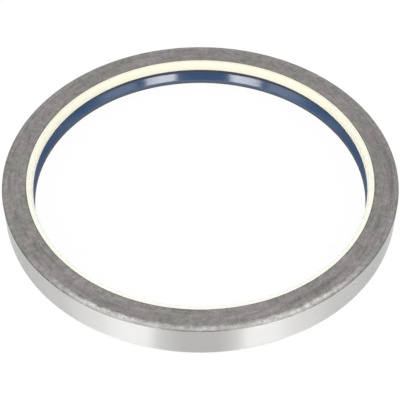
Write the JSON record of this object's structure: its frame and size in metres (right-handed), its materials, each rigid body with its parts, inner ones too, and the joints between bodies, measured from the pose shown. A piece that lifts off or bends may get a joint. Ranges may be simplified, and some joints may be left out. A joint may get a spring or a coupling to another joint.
{
  "type": "crankshaft oil seal",
  "caption": "Rotary shaft oil seal: drawn steel case with a wide flange, fleece dust ring, bonded blue rubber lip and garter spring.",
  "frame": {"origin": "centre of the open rim's plane, on the shaft axis", "axes": "+Z along the shaft axis, from the oil side to the flange face on the air side; X and Y are free, because every piece is round"},
  "size_m": [0.18, 0.18, 0.015],
  "materials": {
    "case_steel": "mill-grey flange, ground outside wall",
    "fleece": "matte fleece",
    "lip_rubber": "glossy moulded",
    "spring_steel": "bright drawn wire"
  },
  "bodies": {
    "root": {"outer_case": "case_steel", "dust_ring": "fleece", "sealing_lip": "lip_rubber", "garter_spring": "spring_steel"}
  },
  "joints": []
}
